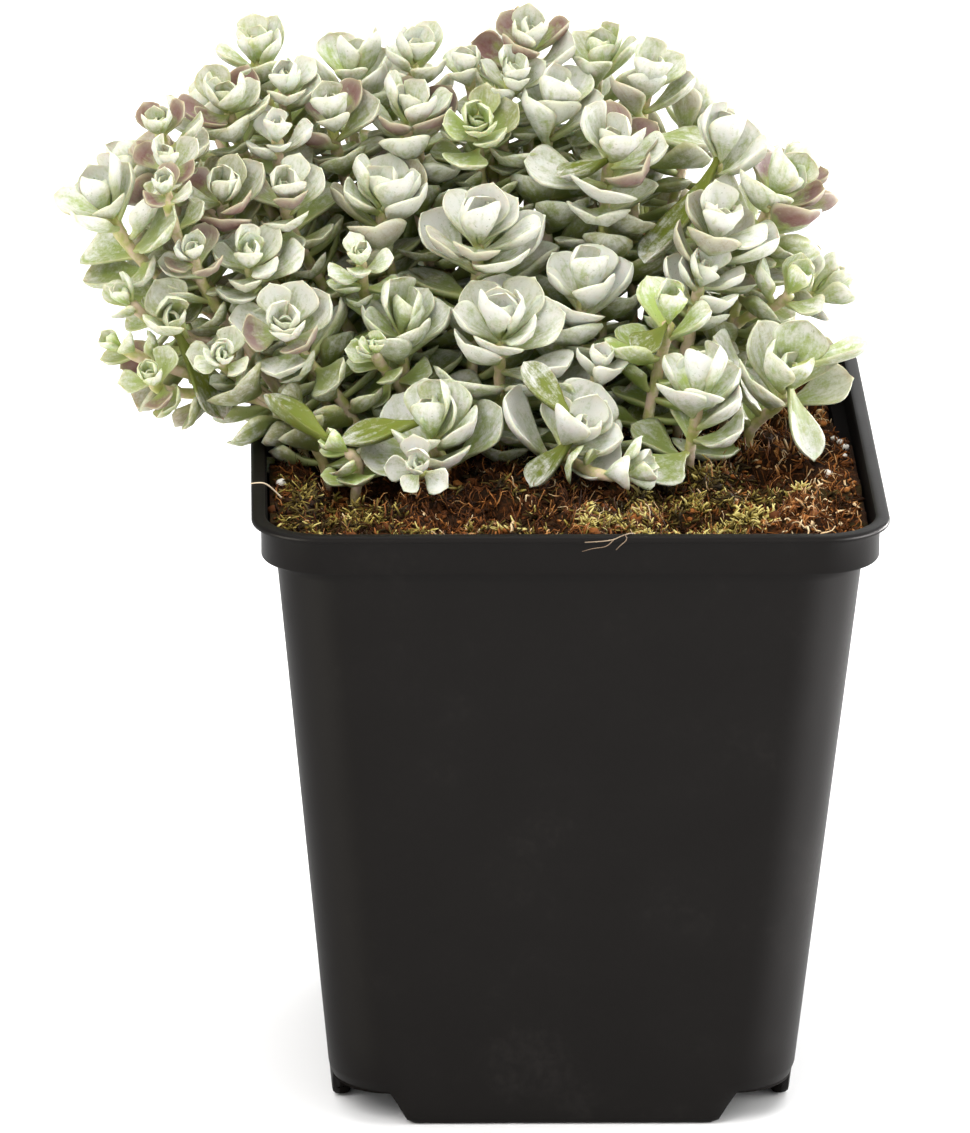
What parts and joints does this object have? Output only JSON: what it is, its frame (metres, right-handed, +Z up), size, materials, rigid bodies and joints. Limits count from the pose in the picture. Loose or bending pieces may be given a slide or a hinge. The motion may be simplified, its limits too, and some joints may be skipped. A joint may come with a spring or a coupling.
{
  "type": "potted sedum",
  "caption": "Stonecrop with grey-green spoon-leaved rosettes on fleshy stems, mounding up and over the rim of a square black nursery pot filled with soil.",
  "frame": {"origin": "middle of the whole object's box, on the surface that the pot stands on; the pot's own centre line is 13.5 mm to +X and 5 mm to -Y of it, because the plant leans out over the left rim and the back", "axes": "+X to the right as the front is seen, -Y towards the front, +Z up"},
  "size_m": [0.1181, 0.0992, 0.1467],
  "materials": {
    "pot_plastic": "satin black moulded plastic",
    "soil": "fibrous red-brown peat with moss",
    "leaf": "grey-green leaf with a pale waxy bloom and purple edges"
  },
  "bodies": {
    "root": {"pot": "pot_plastic", "soil": "soil", "leafy_stem_01": "leaf", "leafy_stem_02": "leaf", "leafy_stem_03": "leaf", "leafy_stem_04": "leaf", "leafy_stem_05": "leaf", "leafy_stem_06": "leaf", "leafy_stem_07": "leaf", "leafy_stem_08": "leaf", "leafy_stem_09": "leaf", "leafy_stem_10": "leaf", "leafy_stem_11": "leaf", "leafy_stem_12": "leaf", "leafy_stem_13": "leaf", "leafy_stem_14": "leaf", "leafy_stem_15": "leaf", "leafy_stem_16": "leaf", "leafy_stem_17": "leaf", "leafy_stem_18": "leaf", "leafy_stem_19": "leaf", "leafy_stem_20": "leaf", "leafy_stem_21": "leaf", "leafy_stem_22": "leaf", "leafy_stem_23": "leaf", "leafy_stem_24": "leaf", "leafy_stem_25": "leaf", "leafy_stem_26": "leaf", "leafy_stem_27": "leaf", "leafy_stem_28": "leaf", "leafy_stem_29": "leaf", "leafy_stem_30": "leaf", "leafy_stem_31": "leaf", "leafy_stem_32": "leaf", "leafy_stem_33": "leaf", "leafy_stem_34": "leaf", "leafy_stem_35": "leaf", "leafy_stem_36": "leaf", "leafy_stem_37": "leaf", "leafy_stem_38": "leaf", "leafy_stem_39": "leaf", "leafy_stem_40": "leaf", "leafy_stem_41": "leaf", "leafy_stem_42": "leaf", "leafy_stem_43": "leaf"}
  },
  "joints": []
}
